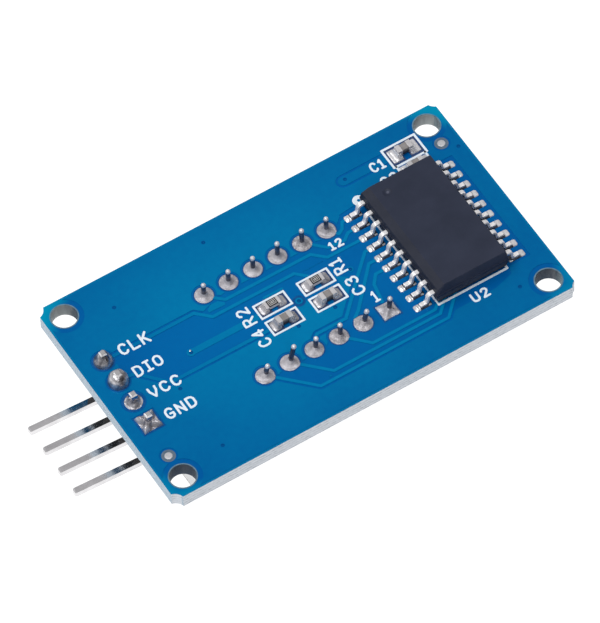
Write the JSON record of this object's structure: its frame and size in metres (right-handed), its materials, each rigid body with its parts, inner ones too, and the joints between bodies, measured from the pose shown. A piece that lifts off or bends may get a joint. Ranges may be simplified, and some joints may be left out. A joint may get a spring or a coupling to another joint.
{
  "type": "seven segment display module",
  "caption": "Small blue circuit board with a driver chip and passive parts on its back, a clock-style seven segment display under it, a bent pin header and corner mounting holes.",
  "frame": {"origin": "centre of the four mounting holes, on the component face of the board", "axes": "+Z out of the component face, with the display below the board; +X towards the driver chip and away from the pin header; +Y towards the long edge beside capacitor C1"},
  "size_m": [0.047, 0.0236, 0.011],
  "materials": {
    "board_blue_mask": "blue solder mask over glass-epoxy laminate, satin gloss, pale raw edges",
    "display_pale_shell": "pale moulded plastic, fine matt",
    "display_black_face": "matt black film",
    "segment_milky_epoxy": "milky translucent epoxy, smooth",
    "bare_laminate": "uncoated glass-epoxy laminate",
    "light_die": "bare semiconductor with a metal contact",
    "potting_epoxy": "cast epoxy, slightly uneven",
    "tinned_pin": "bright tin plating on brass or steel",
    "header_black_plastic": "black moulded plastic",
    "chip_moulding": "dark slate moulding compound, fine matt grain",
    "tinned_lead": "matt tin plating",
    "copper_pad": "bare copper alloy",
    "silicon": "polished silicon",
    "resistor_glaze": "black glaze over white ceramic",
    "capacitor_ceramic": "fired grey-brown ceramic",
    "tinned_end_cap": "matt tin plating",
    "white_print": "white screen-printed ink on the board",
    "solder": "soft bright solder with dull patches"
  },
  "bodies": {
    "root": {"pcb": "board_blue_mask", "display_housing": "display_pale_shell", "display_face_film": "display_black_face", "display_segment_fill": "segment_milky_epoxy", "display_led_board": "bare_laminate", "display_led_dies": "light_die", "display_potting": "potting_epoxy", "display_pins_upper": "tinned_pin", "display_pins_lower": "tinned_pin", "header_body": "header_black_plastic", "header_pin_clk": "tinned_pin", "header_pin_dio": "tinned_pin", "header_pin_vcc": "tinned_pin", "header_pin_gnd": "tinned_pin", "driver_ic_body": "chip_moulding", "driver_ic_die_pad": "copper_pad", "driver_ic_die": "silicon", "driver_ic_leads_left": "tinned_lead", "driver_ic_leads_right": "tinned_lead", "resistor_r1": "resistor_glaze", "resistor_r1_end_caps": "tinned_end_cap", "resistor_r2": "resistor_glaze", "resistor_r2_end_caps": "tinned_end_cap", "capacitor_c1": "capacitor_ceramic", "capacitor_c1_end_caps": "tinned_end_cap", "capacitor_c2": "capacitor_ceramic", "capacitor_c2_end_caps": "tinned_end_cap", "capacitor_c3": "capacitor_ceramic", "capacitor_c3_end_caps": "tinned_end_cap", "capacitor_c4": "capacitor_ceramic", "capacitor_c4_end_caps": "tinned_end_cap", "solder_display_pins": "solder", "solder_header_pins": "solder", "solder_driver_ic": "solder", "solder_chip_parts": "solder"}
  },
  "joints": []
}
